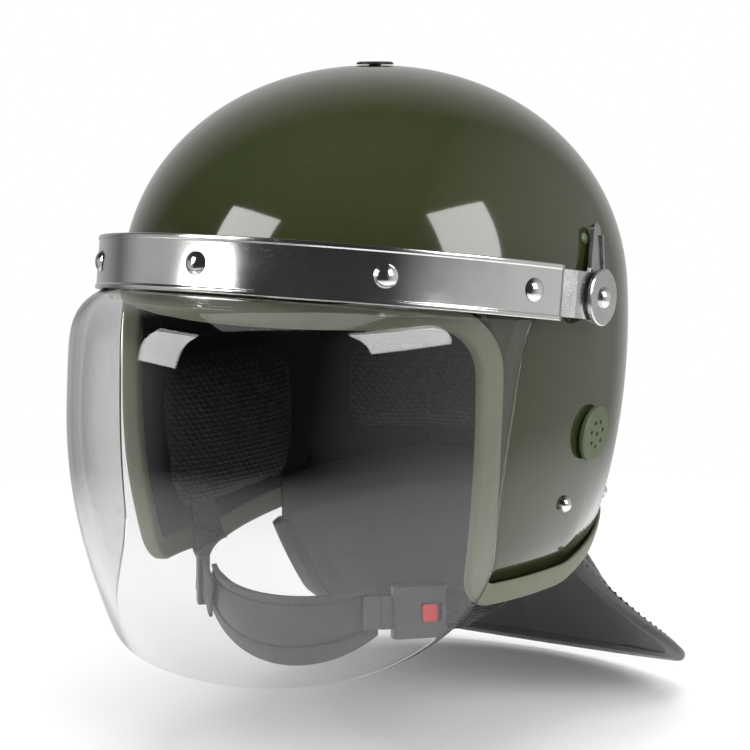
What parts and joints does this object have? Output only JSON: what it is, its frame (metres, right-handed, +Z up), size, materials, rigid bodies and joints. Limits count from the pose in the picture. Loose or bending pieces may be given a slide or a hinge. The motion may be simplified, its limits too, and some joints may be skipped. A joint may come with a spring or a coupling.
{
  "type": "riot helmet",
  "caption": "Full-cover helmet with a hinged clear visor on a riveted metal band, padded liner, hanging neck cape and buckled chin strap.",
  "frame": {"origin": "the middle of the ring of pads that sits on the head, level with the visor's pivots", "axes": "the face looks along -Y, the wearer's left is +X and up is +Z"},
  "size_m": [0.2748, 0.3658, 0.3344],
  "materials": {
    "shell_olive": "gloss olive green moulding",
    "trim_olive": "matt olive rubber extrusion",
    "foam": "dark impact foam",
    "comfort_mesh": "black spacer mesh over foam",
    "olive_plastic": "matt olive moulding",
    "cape_leather": "black coated quilted leather, satin",
    "stainless": "bright stainless steel",
    "bright_metal": "bright plated",
    "zinc": "satin zinc plate",
    "gasket_rubber": "black sponge rubber",
    "clear_visor": "clear polycarbonate, gloss",
    "webbing": "dark grey woven webbing",
    "chin_leather": "dark grey leather",
    "buckle_plastic": "grey moulding",
    "tab_red": "red moulding"
  },
  "bodies": {
    "helmet": {"outer_shell": "shell_olive", "edge_trim": "trim_olive", "impact_liner": "foam", "crown_pad": "comfort_mesh", "brow_pad": "comfort_mesh", "nape_pad": "comfort_mesh", "left_cheek_pad": "comfort_mesh", "right_cheek_pad": "comfort_mesh", "crown_plug": "olive_plastic", "nape_strip": "shell_olive", "nape_rivets": "bright_metal", "neck_cape": "cape_leather", "cape_binding": "cape_leather", "left_ear_vent": "olive_plastic", "right_ear_vent": "olive_plastic", "side_rivets": "olive_plastic", "left_base_plate": "zinc", "right_base_plate": "zinc", "left_pivot_screw": "bright_metal", "right_pivot_screw": "bright_metal", "left_pivot_nut": "zinc", "right_pivot_nut": "zinc", "left_spring_washer": "zinc", "right_spring_washer": "zinc", "left_pivot_disc": "stainless", "right_pivot_disc": "stainless", "strap_rivets": "bright_metal"},
    "visor_unit": {"front_band": "stainless", "band_rivets": "bright_metal", "visor_gasket": "gasket_rubber", "visor": "clear_visor", "left_bracket": "stainless", "right_bracket": "stainless"},
    "left_lever": {"left_lock_lever": "stainless"},
    "right_lever": {"right_lock_lever": "stainless"},
    "chin_strap": {"left_strap_anchor": "zinc", "right_strap_anchor": "zinc", "left_strap": "webbing", "right_strap": "webbing", "chin_cup": "chin_leather", "chin_pad": "comfort_mesh", "buckle_housing": "buckle_plastic", "buckle_tongue": "buckle_plastic"},
    "slide": {"strap_slide": "buckle_plastic"},
    "tab": {"release_tab": "tab_red"}
  },
  "joints": [
    {"name": "visor_pivot", "type": "hinge", "parent": "helmet", "child": "visor_unit", "pos_m": [0, -0.009, 0], "axis": [-1, 0, 0], "range_deg": [0, 70]},
    {"name": "left_lever_pivot", "type": "hinge", "parent": "helmet", "child": "left_lever", "pos_m": [0.127, -0.009, 0], "axis": [-1, 0, 0], "range_deg": [0, 60]},
    {"name": "right_lever_pivot", "type": "hinge", "parent": "helmet", "child": "right_lever", "pos_m": [-0.127, -0.009, 0], "axis": [-1, 0, 0], "range_deg": [0, 60]},
    {"name": "chin_strap_swing", "type": "hinge", "parent": "helmet", "child": "chin_strap", "pos_m": [0, -0.011, -0.1], "axis": [-1, 0, 0], "range_deg": [-9, 8]},
    {"name": "strap_slide_travel", "type": "slide", "parent": "chin_strap", "child": "slide", "axis": [0.7001, -0.714, 0], "range_m": [-0.006, 0.006]},
    {"name": "release_tab_pull", "type": "slide", "parent": "chin_strap", "child": "tab", "axis": [0.7001, 0.714, 0], "range_m": [0, 0.0025], "stiffness_N_per_m": 400, "springref_m": -0.002}
  ]
}
